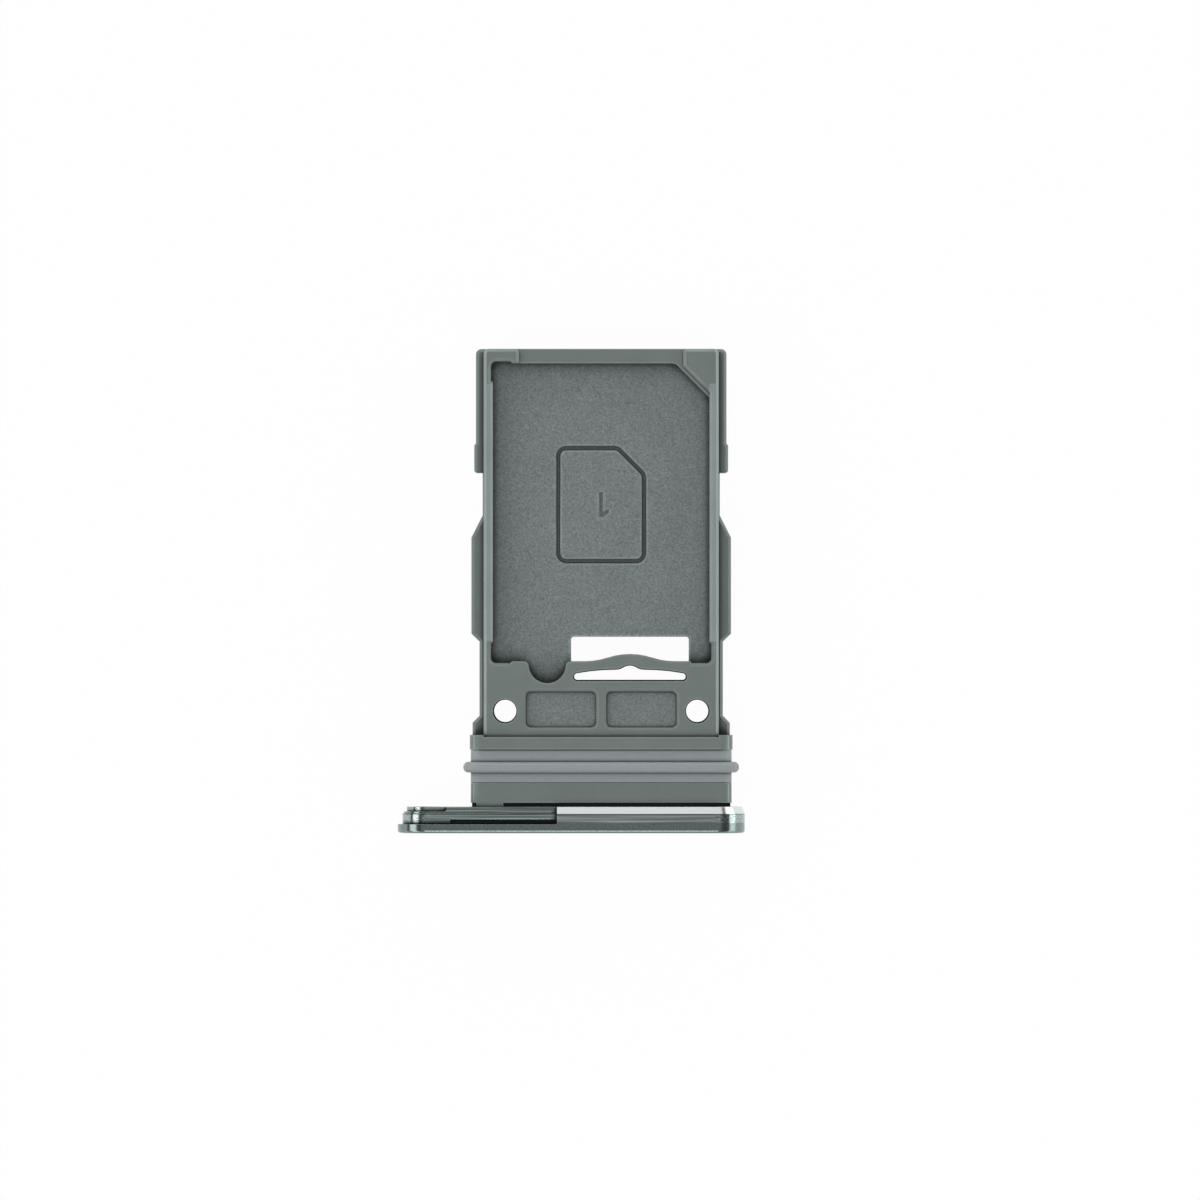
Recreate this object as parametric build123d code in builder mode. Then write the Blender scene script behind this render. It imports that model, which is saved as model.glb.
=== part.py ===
import os
from math import sqrt

from build123d import *

# All sizes are in millimetres. The tray lies flat: X runs across it, Y runs from the cap to the tip, Z is up.

# The card that the tray carries
card_width = 8.8
card_length = 12.3
card_thickness = 0.67
card_cut = 1.65

# Pockets, one on each side of the floor, and the room that they leave round a card
card_side_gap = 0.12
card_end_gap = 0.13
card_cut_gap = 0.29
card_sink = 0.03
floor_thickness = 0.35
corner_relief = 0.08
corner_relief_length = 0.8
corner_relief_round = 0.22
cut_round = 0.3

# Frame round the pockets
rim_wall = 0.38
tip_bar = 0.6
tip_corner = 0.2
tip_pad_length = 1.48
tip_step = 0.2
cut_ledge = 0.15
pad_corner = 0.15
edge_break = 0.115
near_edge_break = 0.05

# Deck between the collar and the pockets
deck_length = 3.16
deck_hole_diameter = 0.93
deck_hole_spacing = 8.02
deck_hole_from_collar = 1.08
panel_width = 3.01
panel_length = 1.57
panel_spacing = 3.36
panel_from_collar = 1.15
panel_corner = 0.24
panel_depth = 0.2
panel_draft = 25
panel_break = 0.06
opening_draft = 1.5

# Finger notch that opens the pocket's near end
notch_radius = 0.77
notch_sink = 0.146
notch_shoulder = 0.22
notch_from_centre = 2.25

# Spring beam: a thin arched strip between the window in the floor and the slot in the deck
spring_from_centre = 1.2
window_width = 4.91
window_length = 1.02
window_corner = 0.12
arch_reach = 1.87
arch_rise = 0.3
slot_width = 4.65
slot_depth = 0.78
slot_end_height = 0.25
slot_end_round = 0.12
slot_top_depth = 0.36
bump_reach = 0.57
bump_rise = 0.17

# Card outline sunk in the upper floor
icon_width = 3.75
icon_length = 4.89
icon_cut = 1.15
icon_round = 0.42
icon_groove = 0.17
icon_depth = 0.1
icon_draft = 20
icon_break = 0.035
icon_from_middle = 0.32
figure_height = 1.1
figure_stroke = 0.22
figure_flag = 0.24
figure_flag_length = 0.4
figure_from_middle = 0.32
figure_depth = 0.05
figure_draft = 45

# Side rails, each reach measured from the frame's side
rail_thickness = 0.7
rail_break = 0.12
rail_reach = 0.18
heel_reach = 0.47
heel_length = 0.59
heel_slope = 0.3
guide_reach = 0.52
guide_from_pocket = 0.82
guide_length = 4.01
guide_run_out = 0.33
guide_lead_in = 0.93
gap_reach = 0.05
tip_wing_reach = 0.33
tip_wing_length = 5.18
tip_wing_round = 0.23
tip_wing_heel_round = 0.14
nub_reach = 0.07
nub_length = 1.16

# Neck, seal and collar
neck_gap = 0.17
neck_width = 10.88
neck_height = 1.95
neck_corner = 0.44
neck_band = 0.83
foot_width = 1.1
foot_from_end = 0.24
foot_fit = 0.01
seal_width = 1.39
seal_wall = 0.3
seal_side_gap = 0.02
bead_width = 0.44
bead_height = 0.31
bead_round = 0.2
bead_from_collar = 0.74
collar_width = 10.96
collar_height = 2.15
collar_corner = 0.6
collar_length = 0.52
ear_width = 0.58
ear_length = 0.08

# Cap, with its steps measured from its left end and from its outer face
cap_width = 14.5
cap_height = 2.8
cap_depth = 1.1
cap_front_round = 0.12
cap_taper_length = 0.29
cap_taper_inset = 0.11
cap_plate = 0.375
rebate_inset = 0.2
rebate_length = 6.66
rebate_corner = 0.17
groove_inset = 0.32
groove_width = 0.21
groove_from_end = 2.2
groove_corner = 0.07
back_step_inset = 0.26
back_step_from_face = 0.82
back_step_corner = 0.1
hole_step_inset = 0.38
hole_step_length = 2.05
hole_step_from_face = 0.9
hole_step_corner = 0.12
eject_hole_diameter = 1.1
eject_hole_from_end = 1.3
eject_sink_diameter = 1.43
seat_height = 1.0
seat_end_gap = 0.05
tongue_width = 8.0
tongue_thickness = 0.7
tongue_length = 1.9
tongue_fit = 0.02
tongue_end_gap = 0.1
tray_from_cap_centre = 1.25

# Sizes that follow from these
pocket_width = card_width + 2 * card_side_gap
pocket_length = card_length + card_end_gap
pocket_depth = card_thickness + card_sink
pocket_cut = card_cut + card_side_gap + card_end_gap / 2 - card_cut_gap * sqrt(2)
frame_width = pocket_width + 2 * rim_wall
frame_thickness = floor_thickness + 2 * pocket_depth

# Distances from the cap's outer face
neck_start = cap_depth + neck_gap
seal_start = neck_start + neck_band
collar_start = seal_start + seal_width
deck_start = collar_start + collar_length
pocket_start = deck_start + deck_length
pocket_end = pocket_start + pocket_length
tip = pocket_end + tip_bar

# The origin is under the middle of the whole, at the level of the cap's lower edge
face_y = -tip / 2
mid_z = cap_height / 2
tray_mid = Plane(origin=(tray_from_cap_centre, face_y, mid_z))
upper_face = tray_mid.offset(frame_thickness / 2)
lower_face = Plane(
    origin=(tray_from_cap_centre, face_y, mid_z - frame_thickness / 2),
    x_dir=(-1, 0, 0),
    z_dir=(0, 0, -1),
)
cap_plan = Plane(origin=(-cap_width / 2, face_y, mid_z))


def across(distance, x=tray_from_cap_centre):
    # Plane square to Y at a distance from the cap's outer face, looking towards the tip
    return Plane(origin=(x, face_y + distance, mid_z), x_dir=(1, 0, 0), z_dir=(0, 1, 0))


def half_bell(reach, foot, crest):
    # Right half of a bell curve: two tangent arcs, level at both ends
    flank = TangentArc((reach, foot), (reach / 2, (foot + crest) / 2), tangent=(-1, 0))
    TangentArc(flank @ 1, (0, crest), tangent=flank % 1)


def milled_step(inset, left, right, near, far, corner):
    # What a cutter takes off the cap all round, down to an outline inset from the cap's own
    with BuildPart() as step:
        with BuildSketch(cap_plan):
            with Locations((left, near)):
                Rectangle(right - left, far - near, align=Align.MIN)
            fillet(vertices().group_by(Axis.Y)[0].sort_by(Axis.X)[-1], radius=corner)
        extrude(amount=cap_height, both=True)
        with BuildSketch(across(0, 0)):
            SlotOverall(cap_width - 2 * inset, cap_height - 2 * inset)
        extrude(amount=2 * far, mode=Mode.SUBTRACT)
    return step.part


# Cap: a stadium plate with steps milled behind its left part, the eject hole, a seat and a tongue
step_margin = cap_height
step_far = cap_depth + step_margin
with BuildPart() as cap:
    with BuildSketch(across(0, 0)):
        SlotOverall(cap_width, cap_height)
    extrude(amount=cap_depth)
    back = cap.faces().sort_by(Axis.Y)[-1]
    chamfer(back.edges(), length=cap_taper_inset, length2=cap_taper_length, reference=back)
    fillet(cap.faces().sort_by(Axis.Y)[0].edges(), radius=cap_front_round)
    for inset, left, right, near, far, corner in (
        (rebate_inset, -step_margin, rebate_length, cap_plate, step_far, rebate_corner),
        (groove_inset, groove_from_end, rebate_length, cap_plate, cap_plate + groove_width, groove_corner),
        (back_step_inset, -step_margin, rebate_length, back_step_from_face, step_far, back_step_corner),
        (hole_step_inset, -step_margin, hole_step_length, hole_step_from_face, step_far, hole_step_corner),
    ):
        add(milled_step(inset, left, right, near, far, corner), mode=Mode.SUBTRACT)
    with Locations(Plane(origin=(eject_hole_from_end - cap_width / 2, face_y, mid_z), z_dir=(0, -1, 0))):
        CounterSinkHole(eject_hole_diameter / 2, eject_sink_diameter / 2, counter_sink_angle=90)
    with BuildSketch(across(cap_depth)):
        Rectangle(neck_width - 2 * seat_end_gap, seat_height)
        with Locations((foot_from_end - foot_fit - neck_width / 2, 0)):
            Rectangle(
                foot_width + 2 * foot_fit,
                seat_height,
                align=(Align.MIN, Align.CENTER),
                mode=Mode.SUBTRACT,
            )
    extrude(amount=neck_gap)
    with BuildSketch(across(cap_depth)):
        Rectangle(tongue_width, tongue_thickness)
    extrude(amount=tongue_length)
cap.part.label = "cap"

# Spring beam's upper side, which swells into the pocket over the window
with BuildSketch() as arch:
    with BuildLine():
        half_bell(arch_reach, 0, arch_rise)
        mirror(about=Plane.YZ)
        Polyline((-arch_reach, 0), (-arch_reach, -arch_rise), (arch_reach, -arch_rise), (arch_reach, 0))
    make_face()

with BuildSketch() as window:
    Rectangle(window_width, window_length, align=(Align.CENTER, Align.MIN))
    fillet(vertices().group_by(Axis.Y)[-1], radius=window_corner)
    add(arch.sketch, mode=Mode.SUBTRACT)

# Slot under the beam, with a bump that keeps the beam thin under the arch's crest
slot_end = slot_width / 2
with BuildSketch() as slot:
    with BuildLine():
        Polyline((0, -slot_depth), (slot_end, -slot_depth), (slot_end, slot_end_height - slot_depth))
        TangentArc((bump_reach, -slot_top_depth), (slot_end, slot_end_height - slot_depth), tangent=(1, 0))
        half_bell(bump_reach, -slot_top_depth, bump_rise - slot_top_depth)
        mirror(about=Plane.YZ)
    make_face()
    fillet(vertices().group_by(Axis.X)[0] + vertices().group_by(Axis.X)[-1], radius=slot_end_round)

with BuildSketch() as relief:
    with BuildLine():
        Polyline(
            (0, 0),
            (corner_relief_length, 0),
            (corner_relief_length + corner_relief, corner_relief),
            (corner_relief, corner_relief_length + corner_relief),
            (0, corner_relief_length),
            close=True,
        )
    make_face()
    fillet(vertices().sort_by_distance((0, 0))[0], radius=corner_relief_round)


def card_pocket(hand):
    # Plan of a pocket seen from its own side, with its cut corner at the tip on the right.
    # The notch and the arch keep their place when the tray is turned over, so hand gives their side.
    reach = pocket_width / 2 + corner_relief
    near = pocket_start - corner_relief
    far = pocket_end + corner_relief
    notch_x = -hand * notch_from_centre
    mouth = sqrt(notch_radius**2 - notch_sink**2)
    with BuildSketch() as outline:
        with Locations((0, pocket_start)):
            Rectangle(pocket_width, pocket_length, align=(Align.CENTER, Align.MIN))
        chamfer(vertices().group_by(Axis.Y)[-1].sort_by(Axis.X)[-1], length=pocket_cut)
        fillet(vertices().group_by(Axis.Y)[-1].sort_by(Axis.X)[-1], radius=cut_round)
        for x, y, turn in ((-reach, near, 0), (reach, near, 90), (-reach, far, -90)):
            with Locations(Location((x, y, 0), (0, 0, turn))):
                add(relief.sketch)
        with Locations((notch_x, pocket_start - notch_sink)):
            Circle(notch_radius)
        for side in (-mouth, mouth):
            shoulder = vertices().sort_by_distance((notch_x + side, pocket_start))[0]
            fillet(shoulder, radius=notch_shoulder)
        with Locations((hand * spring_from_centre, pocket_start)):
            add(arch.sketch, mode=Mode.SUBTRACT)
    return outline.sketch


# Plan of the lower level at the tip: the bar between its two pads, and the ledge along the cut corner
pad_edge = frame_width / 2 - tip_pad_length
ledge_sum = pocket_width / 2 + pocket_end - pocket_cut + cut_ledge * sqrt(2)
with BuildSketch() as tip_level:
    with BuildLine():
        Polyline(
            (-pad_edge, tip + tip_bar),
            (pad_edge, tip + tip_bar),
            (pad_edge, ledge_sum - pad_edge),
            (pocket_width / 2, ledge_sum - pocket_width / 2),
            (pocket_width / 2, pocket_end - pocket_cut),
            (-pad_edge, pocket_end - pocket_cut),
            close=True,
        )
    make_face()

# Card outline in the floor
with BuildSketch() as icon:
    with Locations((0, (pocket_start + pocket_end) / 2 + icon_from_middle)):
        Rectangle(icon_width, icon_length)
    chamfer(vertices().group_by(Axis.Y)[-1].sort_by(Axis.X)[-1], length=icon_cut)
    fillet(vertices(), radius=icon_round)
    offset(amount=-icon_groove, mode=Mode.SUBTRACT)

# Plain figure 1 in the middle of the card outline, to be read from the tip
with BuildSketch() as figure:
    with BuildLine():
        Polyline(
            (-figure_stroke / 2, figure_height / 2),
            (-figure_stroke / 2, -figure_height / 2),
            (figure_stroke / 2, -figure_height / 2),
            (figure_stroke / 2 + figure_flag, figure_flag_length / 2 - figure_height / 2),
            (figure_stroke / 2 + figure_flag, figure_flag_length - figure_height / 2),
            (figure_stroke / 2, figure_flag_length * 3 / 4 - figure_height / 2),
            (figure_stroke / 2, figure_height / 2),
            close=True,
        )
    make_face()

# Right-hand rail, from inside the rim's wall out to its stepped edge
side = frame_width / 2
guide_start = pocket_start + guide_from_pocket
guide_near = guide_start + guide_run_out
guide_far = guide_near + guide_length
wing_start = tip - tip_wing_length
nub_end = wing_start + nub_length
with BuildPart() as rail:
    with BuildSketch(tray_mid):
        with BuildLine():
            Polyline(
                (side - rim_wall / 2, collar_start),
                (side + heel_reach, collar_start),
                (side + heel_reach, deck_start + heel_length),
                (side + rail_reach, deck_start + heel_length + heel_slope),
                (side + rail_reach, guide_start),
                (side + guide_reach, guide_near),
                (side + guide_reach, guide_far),
                (side + gap_reach, guide_far + guide_lead_in),
                (side + gap_reach, wing_start),
                (side + tip_wing_reach + nub_reach, wing_start),
                (side + tip_wing_reach + nub_reach, nub_end),
                (side + tip_wing_reach, nub_end + nub_reach),
                (side + tip_wing_reach, tip),
                (side - rim_wall / 2, tip),
                close=True,
            )
        make_face()
        fillet(vertices().sort_by_distance((side + tip_wing_reach, tip))[0], radius=tip_wing_round)
        fillet(
            vertices().sort_by_distance((side + tip_wing_reach + nub_reach, wing_start))[0],
            radius=tip_wing_heel_round,
        )
    extrude(amount=rail_thickness / 2, both=True)
    outer_edges = rail.faces().filter_by(Axis.Z).edges().group_by(Axis.X)[1:]
    chamfer([edge for group in outer_edges for edge in group], length=rail_break)

# Outline of the neck's section, and of its core inside the seal
with BuildSketch() as neck_section:
    RectangleRounded(neck_width, neck_height, neck_corner)

with BuildSketch() as core_section:
    add(neck_section.sketch)
    offset(amount=-seal_wall)


def at_near_end(edge):
    # Whether an edge lies along the pocket's near end, between its two corner reliefs
    off = edge.center() - Vector(tray_from_cap_centre, face_y + pocket_start)
    reach = pocket_width / 2 - corner_relief_length + corner_relief / 2
    return abs(off.X) < reach and abs(off.Y) < 2 * notch_radius


# Tray: one moulding
with BuildPart() as tray:
    with BuildSketch(tray_mid):
        with Locations((0, collar_start)):
            Rectangle(frame_width, tip - collar_start, align=(Align.CENTER, Align.MIN))
        fillet(vertices().group_by(Axis.Y)[-1], radius=tip_corner)
    extrude(amount=frame_thickness / 2, both=True)
    for face, hand in ((upper_face, 1), (lower_face, -1)):
        with BuildSketch(face):
            add(tip_level.sketch)
        extrude(amount=-tip_step, mode=Mode.SUBTRACT)
        with BuildSketch(face):
            add(card_pocket(hand))
        extrude(amount=-pocket_depth, mode=Mode.SUBTRACT)
    for face in (upper_face, lower_face):
        for x in (-pad_edge, pad_edge):
            corner = face.from_local_coords(Vector(x, tip, -tip_step / 2))
            fillet(edges().filter_by(Axis.Z).sort_by_distance(corner)[0], radius=pad_corner)
    for level in (-1, 0):
        for near, length in ((False, edge_break), (True, near_edge_break)):
            rims = faces().filter_by(Axis.Z).group_by(Axis.Z)[level].edges()
            chamfer([edge for edge in rims if at_near_end(edge) == near], length=length)
    with BuildSketch(tray_mid):
        with Locations((spring_from_centre, pocket_start)):
            add(window.sketch)
    extrude(amount=frame_thickness, both=True, mode=Mode.SUBTRACT)
    with BuildSketch(upper_face):
        with Locations((0, deck_start + panel_from_collar)):
            with GridLocations(panel_spacing, 1, 2, 1):
                RectangleRounded(panel_width, panel_length, panel_corner)
    extrude(amount=-panel_depth, taper=panel_draft, mode=Mode.SUBTRACT)
    mouths = [wire for face in faces().filter_by(Axis.Z).group_by(Axis.Z)[-1] for wire in face.inner_wires()]
    chamfer([edge for wire in mouths for edge in wire.edges()], length=panel_break)
    with BuildSketch(upper_face.offset(-frame_thickness)):
        with Locations((spring_from_centre, pocket_start)):
            add(slot.sketch)
        with Locations((0, deck_start + deck_hole_from_collar)):
            with GridLocations(deck_hole_spacing, 1, 2, 1):
                Circle(deck_hole_diameter / 2)
    extrude(amount=frame_thickness, taper=-opening_draft, mode=Mode.SUBTRACT)
    with BuildSketch(upper_face.offset(-pocket_depth)):
        add(icon.sketch)
    extrude(amount=-icon_depth, taper=icon_draft, mode=Mode.SUBTRACT)
    chamfer(edges(Select.LAST).group_by(Axis.Z)[-1], length=icon_break)
    with BuildSketch(upper_face.offset(-pocket_depth)):
        with Locations((0, (pocket_start + pocket_end) / 2 + figure_from_middle)):
            add(figure.sketch)
    extrude(amount=-figure_depth, taper=figure_draft, mode=Mode.SUBTRACT)
    add(rail.part)
    mirror(rail.part, about=Plane.YZ.offset(tray_from_cap_centre))
    with BuildSketch(across(deck_start)):
        RectangleRounded(collar_width, collar_height, collar_corner)
    extrude(amount=-collar_length)
    with BuildSketch(across(deck_start)):
        RectangleRounded(collar_width, collar_height, collar_corner)
        Rectangle(collar_width - 2 * ear_width, collar_height, mode=Mode.SUBTRACT)
    extrude(amount=ear_length)
    with BuildSketch(across(neck_start)):
        add(core_section.sketch)
    extrude(amount=collar_start - neck_start)
    with BuildSketch(across(neck_start)):
        add(neck_section.sketch)
    extrude(amount=neck_band)
    with BuildSketch(across(cap_depth)):
        add(neck_section.sketch)
        with Locations((foot_from_end - neck_width / 2, 0)):
            Rectangle(foot_width, neck_height, align=(Align.MIN, Align.CENTER), mode=Mode.INTERSECT)
    extrude(amount=neck_gap)
    with BuildSketch(across(cap_depth)):
        Rectangle(tongue_width + 2 * tongue_fit, tongue_thickness + 2 * tongue_fit)
    extrude(amount=tongue_length + tongue_end_gap, mode=Mode.SUBTRACT)
tray.part.label = "tray"

# Seal: a ring stretched over the neck's core, flush with the neck, with a round bead
with BuildPart() as seal:
    with BuildSketch(across(collar_start - bead_from_collar - bead_width / 2)):
        RectangleRounded(
            neck_width + 2 * bead_height,
            neck_height + 2 * bead_height,
            neck_corner + bead_height,
        )
    extrude(amount=bead_width)
    fillet(faces().filter_by(Axis.Y).edges(), radius=bead_round)
    with BuildSketch(across(seal_start + seal_side_gap)):
        add(neck_section.sketch)
    extrude(amount=seal_width - 2 * seal_side_gap)
    with BuildSketch(across(seal_start)):
        add(core_section.sketch)
    extrude(amount=seal_width, mode=Mode.SUBTRACT)
seal.part.label = "seal"

os.makedirs("parts", exist_ok=True)
export_step(cap.part, "parts/cap.step")
export_step(tray.part, "parts/tray.step")
export_step(seal.part, "parts/seal.step")
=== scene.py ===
import math

import bpy
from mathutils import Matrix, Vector


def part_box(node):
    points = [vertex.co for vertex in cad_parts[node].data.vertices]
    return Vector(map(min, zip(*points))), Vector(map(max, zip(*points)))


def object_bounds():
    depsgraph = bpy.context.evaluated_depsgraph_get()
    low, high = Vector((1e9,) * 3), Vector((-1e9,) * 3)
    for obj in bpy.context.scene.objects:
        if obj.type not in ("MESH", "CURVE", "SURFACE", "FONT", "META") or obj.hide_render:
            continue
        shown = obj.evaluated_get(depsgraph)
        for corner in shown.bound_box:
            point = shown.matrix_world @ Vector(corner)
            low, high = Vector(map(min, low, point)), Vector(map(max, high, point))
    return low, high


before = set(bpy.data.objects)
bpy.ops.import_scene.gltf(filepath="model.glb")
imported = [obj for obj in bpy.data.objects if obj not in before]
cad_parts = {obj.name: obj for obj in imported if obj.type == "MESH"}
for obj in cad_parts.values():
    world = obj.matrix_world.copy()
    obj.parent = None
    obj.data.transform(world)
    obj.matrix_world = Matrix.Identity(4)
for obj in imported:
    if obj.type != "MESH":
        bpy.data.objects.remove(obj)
cadLow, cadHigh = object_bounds()
mm = 0.001
print("frame loaded:", ", ".join(sorted(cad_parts)))


def hexColour(code):
    # sRGB hex to the linear values that shaders and lamps take
    channels = [int(code[i:i + 2], 16) / 255 for i in (1, 3, 5)]
    linear = [c / 12.92 if c <= 0.04045 else ((c + 0.055) / 1.055) ** 2.4 for c in channels]
    return (*linear, 1.0)


def perMetre(sizeInMm):
    # texture scale for a pattern that repeats about every sizeInMm, in coordinates that are metres
    return 1000.0 / sizeInMm


def addNode(tree, kind, *sources, **settings):
    # kind may carry its operation, and sources are in the order of the inputs or one dictionary of their names;
    # a node given as a source stands for its first output in use
    kind, *operation = kind.split()
    node = tree.nodes.new("ShaderNode" + kind)
    if operation:
        node.operation = operation[0]
    for name, value in settings.items():
        setattr(node, name, value)
    named = sources[0] if sources and isinstance(sources[0], dict) else dict(enumerate(sources))
    for name, source in named.items():
        if isinstance(source, bpy.types.Node):
            source = next(output for output in source.outputs if output.enabled)
        if isinstance(source, bpy.types.NodeSocket):
            tree.links.new(source, node.inputs[name])
        else:
            node.inputs[name].default_value = source
    return node


def newMaterial(name):
    material = bpy.data.materials.new(name)
    material.use_nodes = True
    tree = material.node_tree
    tree.nodes.clear()
    shader = addNode(tree, "BsdfPrincipled")
    addNode(tree, "OutputMaterial", {"Surface": shader.outputs["BSDF"]})
    coords = addNode(tree, "TexCoord").outputs["Object"]
    return material, tree, shader, coords


def paintedCreviceShade(tree, reach, shut, darkest):
    # painted shade: a colour factor of 1 in the open, falling to darkest where only the share shut of the space
    # within reach mm is open
    openness = addNode(tree, "AmbientOcclusion", {"Distance": reach * mm}, samples=16).outputs["AO"]
    openFrom = min(shut + 0.44, 0.96)
    return addNode(tree, "MapRange", openness, shut, openFrom, darkest, 1.0, interpolation_type="SMOOTHSTEP")


def sharpEdge(tree, reach):
    # 1 along outward edges, where solid within reach mm is thin, and 0 on open faces
    solid = addNode(tree, "AmbientOcclusion", {"Distance": reach * mm},
                    samples=16, inside=True, only_local=True).outputs["AO"]
    return addNode(tree, "MapRange", solid, 0.98, 0.8)


def lookingUp(tree, share, spread):
    # 1 on faces whose true normal stands that share up or down, and 0 elsewhere
    facing = addNode(tree, "NewGeometry").outputs["True Normal"]
    up = addNode(tree, "Math ABSOLUTE", addNode(tree, "SeparateXYZ", {0: facing}).outputs["Z"])
    return addNode(tree, "Math COMPARE", up, share, spread)


def relief(tree, shader, height, radius):
    # bump of a height given in mm, on a shading normal that rolls over edges as a rounding of radius mm would
    edge = addNode(tree, "Bevel", {"Radius": radius * mm}, samples=8)
    bump = addNode(tree, "Bump", {"Height": height, "Strength": 1.0, "Distance": mm, "Normal": edge})
    tree.links.new(bump.outputs["Normal"], shader.inputs["Normal"])


# places in the frame that the finishes follow
trayLow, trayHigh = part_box("tray")
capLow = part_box("cap")[0]
midHeight = (trayLow.z + trayHigh.z) / 2
trayMiddle = (trayLow.x + trayHigh.x) / 2

# Tray: moulded glass-filled nylon, spark-eroded on the pocket's floor and in the recesses, smoother on deck and rim
trayFinish = {
    "colour": "#68726f",
    "floorColour": "#6b7473",
    # pale colour that edges and the rim take, partly as wear and partly as painted highlight
    "highlightAndWearColour": "#899593",
    "fibreColour": "#7f8988",
    "roughness": 0.42,
    "floorRoughness": 0.55,
    "wornRoughness": 0.34,
    "ior": 1.53,
    "edgeRound": 0.06,         # mm
    "creviceReach": 0.5,       # mm
    "creviceShut": 0.38,
    "creviceShade": 0.08,
    "hollowReach": 1.4,        # mm, the wider and fainter shade along the pocket's walls
    "hollowShut": 0.5,
    "hollowShade": 0.72,
    "rim": (4.5, -12.2, -1.45),  # mm from the middle, and from the tip, of the rim that the phone's slot rubs, painted paler there with highlight and wear
    "sideFrom": 4.75,          # mm from the middle
    "deckFrom": -14.1,         # mm from the tip
    "highlightAndWearDeck": 0.8,           # share of the painted highlight and wear on the edges of the recesses and of the marks in the floor
    "highlightAndWearTip": 0.4,            # on the pads at the tip
    "highlightAndWearInside": 0.1,         # on the pocket's other edges
    "highlightAndWearFlat": 0.7,           # on the rim's flat top
    "lineReach": 0.06,         # mm, how wide the fine painted highlight line along every sharp edge is
    "lineHighlight": 0.5,
    "floorLineReach": 0.13,    # mm, the same along the edges in the floor
    "floorLine": 0.8,
    "railBand": (0.25, 0.6),   # mm from mid height, where the rails are, which nothing rubs and which get no painted highlight
    "wallTilt": (0.038, 0.037),  # how far the drafted walls of slot and holes look up, and its spread
    "wallsFrom": -15.8,        # mm from the tip, where the walls of the holes end
    # painted shade on the drafted walls of slot and holes
    "wallShade": 0.3,
    "panelTilt": 0.42,         # how far a recess's drafted walls look up
    # painted shade on a recess's drafted walls
    "panelShade": 0.6,
    "markLevels": (0.05, 0.155),  # mm from mid height, from under the marks in the floor to just below their edges
    # painted shade in the marks sunk in the floor
    "markShade": 0.58,
    "grainSize": 0.07,         # mm, drawn coarser than real spark erosion so that it shows
    "grainHeight": 0.014,      # mm
    "smoothGrain": 0.0012,     # mm, grain left on deck and rim
    "grainTint": (0.58, 1.42),
    "mottleSize": 1.6,         # mm
    "mottleTint": (0.95, 1.05),
    "fibreLength": 0.2,        # mm
    "fibreWidth": 0.04,        # mm
    "fibreDepth": 1.0,         # mm
    "fibreTurns": (0.5, 2.1),
    "fibreShare": 0.4,
    "floorReach": 0.3,         # mm either side of mid height, which holds both floors and no deck or rail top
    "recessHeight": 0.675,     # mm from mid height to a recess's floor
}

# Round mark that an ejector pin left on a pad, placed from the tip's middle
pinMark = {
    "place": (4.2, -0.85),     # mm
    "radius": 0.225,           # mm
    "depth": 0.006,            # mm
}


def pinDisc(tree, flat, onTop):
    # 1 inside the mark, on the upper side only
    aside, beyond = pinMark["place"]
    centre = (trayMiddle + aside * mm, trayHigh.y + beyond * mm, 0.0)
    distance = addNode(tree, "VectorMath DISTANCE", flat, centre)
    radius = pinMark["radius"] * mm
    inside = addNode(tree, "MapRange", distance, radius - 0.03 * mm, radius + 0.01 * mm, 1.0, 0.0,
                     interpolation_type="SMOOTHSTEP")
    return addNode(tree, "Math MULTIPLY", inside, onTop)


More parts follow.
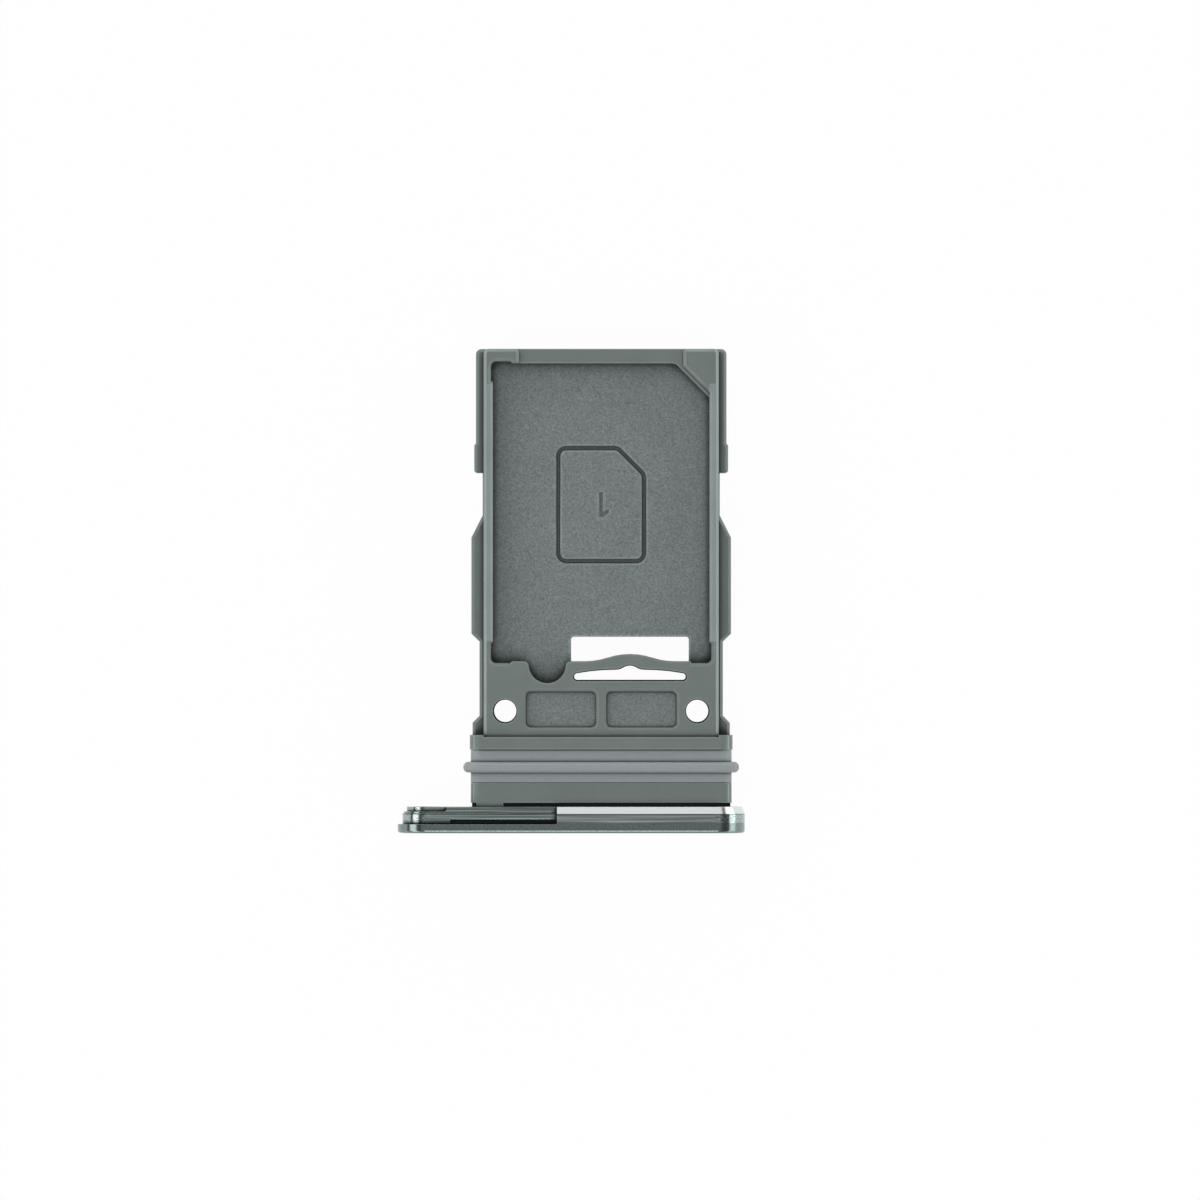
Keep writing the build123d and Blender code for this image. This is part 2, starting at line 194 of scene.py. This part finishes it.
def mouldedNylon():
    # matt grey-green with a fine even grain on the floors, where a few short pale fibres lie near the surface
    f = trayFinish
    material, tree, shader, coords = newMaterial("moulded glass-filled nylon")
    place = addNode(tree, "SeparateXYZ", {0: coords}).outputs
    flat = addNode(tree, "VectorMath MULTIPLY", coords, (1.0, 1.0, 0.0))
    onFloor = addNode(tree, "Math COMPARE", place["Z"], midHeight, f["floorReach"] * mm)
    atRecess = addNode(tree, "Math COMPARE", place["Z"], midHeight + f["recessHeight"] * mm, 0.02 * mm)
    inRecess = addNode(tree, "Math MULTIPLY", atRecess, addNode(tree, "Math LESS_THAN", place["Y"], 0.0))
    eroded = addNode(tree, "Math MAXIMUM", onFloor, inRecess)
    eroded = addNode(tree, "Math MULTIPLY", eroded, lookingUp(tree, 1.0, 0.1))
    upper = addNode(tree, "Math GREATER_THAN", place["Z"], midHeight)

    fibres = None
    for turn in f["fibreTurns"]:
        turned = addNode(tree, "Mapping", {"Vector": coords, "Rotation": (0.0, 0.0, turn)})
        scales = tuple(perMetre(size) for size in (f["fibreLength"], f["fibreWidth"], f["fibreDepth"]))
        stretched = addNode(tree, "VectorMath MULTIPLY", turned, scales)
        streak = addNode(tree, "TexNoise", {"Vector": stretched, "Scale": 1.0, "Detail": 0.0, "Roughness": 0.6})
        lit = addNode(tree, "MapRange", streak, 0.66, 0.78)
        fibres = lit if fibres is None else addNode(tree, "Math MAXIMUM", fibres, lit)
    fibreShare = addNode(tree, "Math MULTIPLY", fibres, eroded)
    fibreShare = addNode(tree, "Math MULTIPLY", fibreShare, f["fibreShare"])

    grain = addNode(tree, "TexNoise", {"Vector": coords, "Scale": perMetre(f["grainSize"]),
                                       "Detail": 2.0, "Roughness": 0.6})
    mottle = addNode(tree, "TexNoise", {"Vector": coords, "Scale": perMetre(f["mottleSize"]),
                                        "Detail": 3.0, "Roughness": 0.6})
    markLow, markHigh = (v * mm for v in f["markLevels"])
    sunk = addNode(tree, "Math COMPARE", place["Z"], midHeight + (markLow + markHigh) / 2, (markHigh - markLow) / 2)
    marked = addNode(tree, "Math MULTIPLY", sunk, addNode(tree, "Math SUBTRACT", 1.0, lookingUp(tree, 0.0, 0.2)))
    pressed = pinDisc(tree, flat, upper)
    aside = addNode(tree, "Math ABSOLUTE", addNode(tree, "Math SUBTRACT", place["X"], trayMiddle))
    beyond = addNode(tree, "Math SUBTRACT", place["Y"], trayHigh.y)
    rimFrom, rimNear, rimFar = (v * mm for v in f["rim"])
    alongRim = addNode(tree, "Math COMPARE", beyond, (rimNear + rimFar) / 2, (rimFar - rimNear) / 2)
    onRim = addNode(tree, "Math MULTIPLY", alongRim, addNode(tree, "Math GREATER_THAN", aside, rimFrom))
    onSide = addNode(tree, "Math GREATER_THAN", aside, f["sideFrom"] * mm)
    atTip = addNode(tree, "Math MULTIPLY", addNode(tree, "Math GREATER_THAN", beyond, rimFar), f["highlightAndWearTip"])
    onDeck = addNode(tree, "Math LESS_THAN", beyond, f["deckFrom"] * mm)
    level = addNode(tree, "Math ABSOLUTE", addNode(tree, "Math SUBTRACT", place["Z"], midHeight))
    railLow, railHigh = (v * mm for v in f["railBand"])
    onRails = addNode(tree, "Math COMPARE", level, (railLow + railHigh) / 2, (railHigh - railLow) / 2)
    offRails = addNode(tree, "Math SUBTRACT", 1.0, onRails)
    # edges and the rim's flat top are mixed towards a pale colour, partly as wear and partly as painted highlight;
    # the fine lines along every sharp edge are painted highlight only
    lips = addNode(tree, "Math MULTIPLY", addNode(tree, "Math MAXIMUM", onDeck, onFloor), f["highlightAndWearDeck"])
    share = f["highlightAndWearInside"]
    for spot in (onRim, onSide, lips, atTip):
        share = addNode(tree, "Math MAXIMUM", share, spot)
    broken = addNode(tree, "Math MULTIPLY", lookingUp(tree, 0.707, 0.03), share)
    rimTop = addNode(tree, "Math MULTIPLY", onRim, lookingUp(tree, 1.0, 0.01))
    rimTop = addNode(tree, "Math MULTIPLY", rimTop, f["highlightAndWearFlat"])
    line = addNode(tree, "Math MULTIPLY", sharpEdge(tree, f["lineReach"]), f["lineHighlight"])
    floorLine = addNode(tree, "Math MULTIPLY", sharpEdge(tree, f["floorLineReach"]), eroded)
    floorLine = addNode(tree, "Math MULTIPLY", floorLine, f["floorLine"])
    line = addNode(tree, "Math MAXIMUM", line, floorLine)
    highlightWearMix = addNode(tree, "Math MAXIMUM", addNode(tree, "Math MAXIMUM", broken, rimTop), line)
    highlightWearMix = addNode(tree, "Math MULTIPLY", highlightWearMix, offRails)
    wall = addNode(tree, "Math GREATER_THAN", beyond, f["wallsFrom"] * mm)
    wall = addNode(tree, "Math MULTIPLY", lookingUp(tree, *f["wallTilt"]), wall)
    panelWall = lookingUp(tree, f["panelTilt"], 0.02)

    base = hexColour(f["colour"])
    for cover, finish in ((eroded, "floorColour"), (highlightWearMix, "highlightAndWearColour"), (fibreShare, "fibreColour")):
        base = addNode(tree, "Mix", {"Factor": cover, "A": base, "B": hexColour(f[finish])}, data_type="RGBA")
    pits = addNode(tree, "Math MULTIPLY", addNode(tree, "Math SUBTRACT", grain, 0.5), eroded)
    tint = addNode(tree, "MapRange", pits, -0.25, 0.25, *f["grainTint"])
    # painted shade multiplied into the colour, after a random tone: in creases, in the hollows along the pocket's
    # walls, in the marks sunk in the floor, and on the drafted walls of holes and recesses
    shades = [
        addNode(tree, "MapRange", mottle, 0.3, 0.7, *f["mottleTint"]),
        paintedCreviceShade(tree, f["creviceReach"], f["creviceShut"], f["creviceShade"]),
        paintedCreviceShade(tree, f["hollowReach"], f["hollowShut"], f["hollowShade"]),
        addNode(tree, "MapRange", marked, 0.0, 1.0, 1.0, f["markShade"]),
        addNode(tree, "MapRange", wall, 0.0, 1.0, 1.0, f["wallShade"]),
        addNode(tree, "MapRange", panelWall, 0.0, 1.0, 1.0, f["panelShade"]),
    ]
    for shade in shades:
        tint = addNode(tree, "Math MULTIPLY", tint, shade)
    tree.links.new(addNode(tree, "VectorMath MULTIPLY", base, tint).outputs[0], shader.inputs["Base Color"])

    roughness = addNode(tree, "MapRange", eroded, 0.0, 1.0, f["roughness"], f["floorRoughness"])
    smoothed = addNode(tree, "MapRange", highlightWearMix, 0.0, 1.0, 1.0, f["wornRoughness"])
    roughness = addNode(tree, "Math MINIMUM", roughness, smoothed)
    tree.links.new(addNode(tree, "Math MAXIMUM", roughness, wall).outputs[0], shader.inputs["Roughness"])
    dull = addNode(tree, "MapRange", wall, 0.0, 1.0, 0.5, 0.0)  # the holes' walls, seen end on, stay dark
    tree.links.new(dull.outputs[0], shader.inputs["Specular IOR Level"])

    depth = addNode(tree, "MapRange", eroded, 0.0, 1.0, f["smoothGrain"], f["grainHeight"])
    height = addNode(tree, "Math MULTIPLY", grain, depth)
    height = addNode(tree, "Math MULTIPLY_ADD", pressed, -pinMark["depth"], height)
    relief(tree, shader, height, f["edgeRound"])
    shader.inputs["IOR"].default_value = f["ior"]
    return material


# Seal: moulded silicone rubber stretched over the neck
sealFinish = {
    "colour": "#8d9496",
    "roughness": 0.5,
    "ior": 1.43,
    "edgeRound": 0.04,         # mm
    "creviceReach": 0.2,       # mm
    "creviceShut": 0.45,
    "creviceShade": 0.15,
    "skinSize": 0.35,          # mm
    "skinHeight": 0.004,       # mm
    "skinTint": (0.97, 1.03),
}


def siliconeRubber():
    # paler and more even than the tray, with a soft broad shine
    f = sealFinish
    material, tree, shader, coords = newMaterial("moulded silicone rubber")
    skin = addNode(tree, "TexNoise", {"Vector": coords, "Scale": perMetre(f["skinSize"]),
                                      "Detail": 3.0, "Roughness": 0.6})
    tint = addNode(tree, "MapRange", skin, 0.3, 0.7, *f["skinTint"])
    # painted shade in the seal's creases
    shade = paintedCreviceShade(tree, f["creviceReach"], f["creviceShut"], f["creviceShade"])
    tint = addNode(tree, "Math MULTIPLY", tint, shade)
    base = addNode(tree, "VectorMath MULTIPLY", hexColour(f["colour"])[:3], tint)
    tree.links.new(base.outputs[0], shader.inputs["Base Color"])
    relief(tree, shader, addNode(tree, "Math MULTIPLY", skin, f["skinHeight"]), f["edgeRound"])
    shader.inputs["Roughness"].default_value = f["roughness"]
    shader.inputs["IOR"].default_value = f["ior"]
    return material


# Cap: anodised aluminium, blasted round its face and milled behind it, with a bright taper cut after anodising
capFinish = {
    "colour": "#8b9896",
    "faceColour": "#65716f",
    "cutColour": "#dde2e3",
    "roughness": 0.15,
    "blastRoughness": 0.16,
    "cutRoughness": 0.32,
    "edgeRound": 0.02,         # mm
    "creviceReach": 0.3,       # mm
    "creviceShut": 0.6,
    "creviceShade": 0.05,
    "blastReach": 0.43,        # mm behind the face
    "blastSize": 0.06,         # mm
    "blastHeight": 0.0006,     # mm
    "lineSpacing": 0.045,      # mm between milling marks
    "lineLength": 6.0,         # mm
    "lineHeight": 0.0012,      # mm
    "lineTint": (0.6, 2.1),
    "blastTint": (0.68, 1.02),
    "faceTint": (0.94, 1.06),
    "cutTilt": 0.355,          # the taper's normal along Y
    "stepAt": 0.79,            # mm behind the face, where a fine line is painted darker just in front of the taper
    "stepWidth": 0.035,        # mm
    "stepShade": 0.45,
}


def anodisedAluminium():
    # satin grey-green, with fine lines along X behind the face and a bare bright edge
    f = capFinish
    material, tree, shader, coords = newMaterial("anodised aluminium")
    facing = addNode(tree, "NewGeometry").outputs["True Normal"]
    tilt = addNode(tree, "SeparateXYZ", {0: facing}).outputs["Y"]
    bright = addNode(tree, "Math COMPARE", tilt, f["cutTilt"], 0.03)
    onFace = addNode(tree, "Math LESS_THAN", tilt, -0.99)
    behind = addNode(tree, "SeparateXYZ", {0: coords}).outputs["Y"]
    edge = capLow.y + f["blastReach"] * mm
    blasted = addNode(tree, "MapRange", behind, edge - 0.01 * mm, edge + 0.01 * mm, 1.0, 0.0)

    scales = tuple(perMetre(size) for size in (f["lineLength"], f["lineSpacing"], f["lineSpacing"]))
    stretched = addNode(tree, "VectorMath MULTIPLY", coords, scales)
    lines = addNode(tree, "TexNoise", {"Vector": stretched, "Scale": 1.0, "Detail": 2.0, "Roughness": 0.6})
    specks = addNode(tree, "TexNoise", {"Vector": coords, "Scale": perMetre(f["blastSize"]),
                                        "Detail": 2.0, "Roughness": 0.6})
    tint = addNode(tree, "Mix",
                   {"Factor": blasted, "A": addNode(tree, "MapRange", lines, 0.35, 0.65, *f["lineTint"]),
                    "B": addNode(tree, "MapRange", specks, 0.3, 0.7, *f["blastTint"])},
                   data_type="FLOAT").outputs["Result"]
    fine = addNode(tree, "MapRange", specks, 0.3, 0.7, *f["faceTint"])
    grey = addNode(tree, "VectorMath MULTIPLY", hexColour(f["colour"])[:3], tint)
    face = addNode(tree, "VectorMath MULTIPLY", hexColour(f["faceColour"])[:3], fine)
    grey = addNode(tree, "Mix", {"Factor": onFace, "A": grey, "B": face}, data_type="RGBA")
    metal = addNode(tree, "Mix", {"Factor": bright, "A": grey, "B": hexColour(f["cutColour"])}, data_type="RGBA")
    # a fine line painted darker just in front of the taper
    step = addNode(tree, "Math COMPARE", behind, capLow.y + f["stepAt"] * mm, f["stepWidth"] * mm / 2)
    # painted shade in the cap's grooves, at its steps and in the gap behind it
    shade = paintedCreviceShade(tree, f["creviceReach"], f["creviceShut"], f["creviceShade"])
    stepShade = addNode(tree, "MapRange", step, 0.0, 1.0, 1.0, f["stepShade"])
    shade = addNode(tree, "Math MULTIPLY", shade, stepShade)
    tree.links.new(addNode(tree, "VectorMath MULTIPLY", metal, shade).outputs[0], shader.inputs["Base Color"])

    roughness = addNode(tree, "MapRange", blasted, 0.0, 1.0, f["roughness"], f["blastRoughness"])
    cut = addNode(tree, "MapRange", bright, 0.0, 1.0, 1.0, f["cutRoughness"])
    roughness = addNode(tree, "Math MINIMUM", roughness, cut)
    tree.links.new(roughness.outputs[0], shader.inputs["Roughness"])
    height = addNode(tree, "Mix",
                     {"Factor": blasted, "A": addNode(tree, "Math MULTIPLY", lines, f["lineHeight"]),
                      "B": addNode(tree, "Math MULTIPLY", specks, f["blastHeight"])},
                     data_type="FLOAT").outputs["Result"]
    relief(tree, shader, height, f["edgeRound"])
    shader.inputs["Metallic"].default_value = 1.0
    return material


for node, material in (("tray", mouldedNylon()), ("seal", siliconeRubber()), ("cap", anodisedAluminium())):
    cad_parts[node].material_slots[0].material = material
print("finishes on tray, seal and cap")

# Floor and world: white to the camera and to reflections, and lit as a pale table otherwise.
# The tent is bright low down all round and dim above, so that rounded edges catch a light line.
studio = {
    "floorSize": 600,          # mm
    "floorColour": "#f4f4f2",
    "whiteShare": 0.97,        # what the camera sees of plain white, the rest is the floor with the shadow on it
    "zenith": 0.42,
    "shoulder": 0.14,
    "horizon": 2.3,
    "horizonTop": (20, 27),    # degrees above the floor where the bright band ends
    "leftBand": (10, 14, 35, 40),  # degrees above the floor between which the left side is bright instead
    "leftWithin": (0.8, 0.5),  # how far round the left side goes, as shares along -X
    "frontWithin": (0.75, 0.45),  # how far round the open front goes, as shares along -Y
    "frontShoulder": 0.34,     # what the open front gives above it
    "frontShare": 0.2,         # what the open front gives of the bright band
    "zenithFrom": (50, 60),    # degrees above the floor where the top begins
}


def seenDirectly(tree):
    path = addNode(tree, "LightPath").outputs
    seen = addNode(tree, "Math MAXIMUM", path["Is Camera Ray"], path["Is Glossy Ray"])
    return addNode(tree, "Math MAXIMUM", seen, path["Is Transmission Ray"])


def buildFloor():
    half = studio["floorSize"] * mm / 2
    mesh = bpy.data.meshes.new("studio_floor")
    mesh.from_pydata([(-half, -half, 0), (half, -half, 0), (half, half, 0), (-half, half, 0)], [], [(0, 1, 2, 3)])
    floor = bpy.data.objects.new("studio_floor", mesh)
    bpy.context.collection.objects.link(floor)
    material = bpy.data.materials.new("pale studio floor")
    material.use_nodes = True
    tree = material.node_tree
    tree.nodes.clear()
    paper = addNode(tree, "BsdfDiffuse", {"Color": hexColour(studio["floorColour"])})
    white = addNode(tree, "Emission", {"Color": (1.0, 1.0, 1.0, 1.0), "Strength": 1.0})
    share = addNode(tree, "Math MULTIPLY", seenDirectly(tree), studio["whiteShare"])
    mix = addNode(tree, "MixShader", {0: share, 1: paper.outputs[0], 2: white.outputs[0]})
    addNode(tree, "OutputMaterial", {"Surface": mix.outputs[0]})
    mesh.materials.append(material)


def buildWorld():
    world = bpy.data.worlds.new("studio")
    bpy.context.scene.world = world
    world.use_nodes = True
    tree = world.node_tree
    tree.nodes.clear()
    ray = addNode(tree, "TexCoord").outputs["Generated"]
    up = addNode(tree, "SeparateXYZ", {0: ray}).outputs["Z"]
    level = addNode(tree, "VectorMath NORMALIZE", addNode(tree, "VectorMath MULTIPLY", ray, (1.0, 1.0, 0.0)))
    around = addNode(tree, "SeparateXYZ", {0: level}).outputs
    toLeft = addNode(tree, "Math MULTIPLY", around["X"], -1.0)
    toFront = addNode(tree, "Math MULTIPLY", around["Y"], -1.0)
    leftward = addNode(tree, "MapRange", toLeft, *reversed(studio["leftWithin"]))
    frontward = addNode(tree, "MapRange", toFront, *reversed(studio["frontWithin"]))
    lowBand, highBand, leftBand = ([math.sin(math.radians(a)) for a in studio[name]]
                                   for name in ("horizonTop", "zenithFrom", "leftBand"))
    bright = studio["horizon"] - studio["shoulder"]
    low = addNode(tree, "MapRange", up, *lowBand, bright, 0.0, interpolation_type="SMOOTHSTEP")
    opened = addNode(tree, "MapRange", frontward, 0.0, 1.0, 1.0, studio["frontShare"])
    low = addNode(tree, "Math MULTIPLY", low, opened)
    leftFoot = addNode(tree, "MapRange", up, *leftBand[:2], 0.0, bright, interpolation_type="SMOOTHSTEP")
    leftHead = addNode(tree, "MapRange", up, *leftBand[2:], 1.0, 0.0, interpolation_type="SMOOTHSTEP")
    left = addNode(tree, "Math MULTIPLY", leftFoot, leftHead)
    sides = addNode(tree, "Mix", {"Factor": leftward, "A": low, "B": left},
                    data_type="FLOAT").outputs["Result"]
    shoulder = addNode(tree, "MapRange", frontward, 0.0, 1.0, studio["shoulder"], studio["frontShoulder"])
    high = addNode(tree, "MapRange", up, *highBand, shoulder, studio["zenith"], interpolation_type="SMOOTHSTEP")
    light = addNode(tree, "Math ADD", sides, high)
    path = addNode(tree, "LightPath").outputs
    strength = addNode(tree, "Mix", {"Factor": path["Is Camera Ray"], "A": light, "B": 1.0},
                       data_type="FLOAT").outputs["Result"]
    back = addNode(tree, "Background", {"Color": (1.0, 1.0, 1.0, 1.0), "Strength": strength})
    addNode(tree, "OutputWorld", {"Surface": back.outputs[0]})


buildFloor()
buildWorld()
print("floor and world")

# Lamps: a broad soft box overhead, a little towards the cap, and a strip beyond the tip for the cap's taper
lamps = {
    "overhead": {"from": (0.0, -0.5, 0.87), "away": 300, "size": (260, 150), "watts": 0.285},
    "tip": {"from": (0.0, 0.66, 0.75), "away": 300, "size": (420, 130), "watts": 0.13},
}


def addLamps():
    target = (cadLow + cadHigh) / 2
    for name, lamp in lamps.items():
        data = bpy.data.lights.new(name, "AREA")
        data.shape = "RECTANGLE"
        data.size, data.size_y = (s * mm for s in lamp["size"])
        data.energy = lamp["watts"]
        light = bpy.data.objects.new(name, data)
        direction = Vector(lamp["from"]).normalized()
        light.location = target + direction * lamp["away"] * mm
        light.rotation_euler = direction.to_track_quat("Z", "Y").to_euler()
        bpy.context.collection.objects.link(light)


# Camera: straight above the tray with its tip at the top, far enough off to show no sides
view = {
    "away": 700,               # mm
    "frameWidth": 50.0,        # mm across the picture
    "centre": (1.2, -0.375),   # mm, what the picture's middle shows
    "sensor": 36.0,
}


def addCamera():
    data = bpy.data.cameras.new("camera")
    data.sensor_width = view["sensor"]
    data.lens = view["sensor"] * view["away"] / view["frameWidth"]
    data.clip_start, data.clip_end = 0.01, 10.0
    camera = bpy.data.objects.new("camera", data)
    camera.location = (view["centre"][0] * mm, view["centre"][1] * mm, cadHigh.z + view["away"] * mm)
    bpy.context.collection.objects.link(camera)
    bpy.context.scene.camera = camera


addLamps()
addCamera()
bpy.context.scene.view_settings.view_transform = "Standard"
print("lamps and camera")
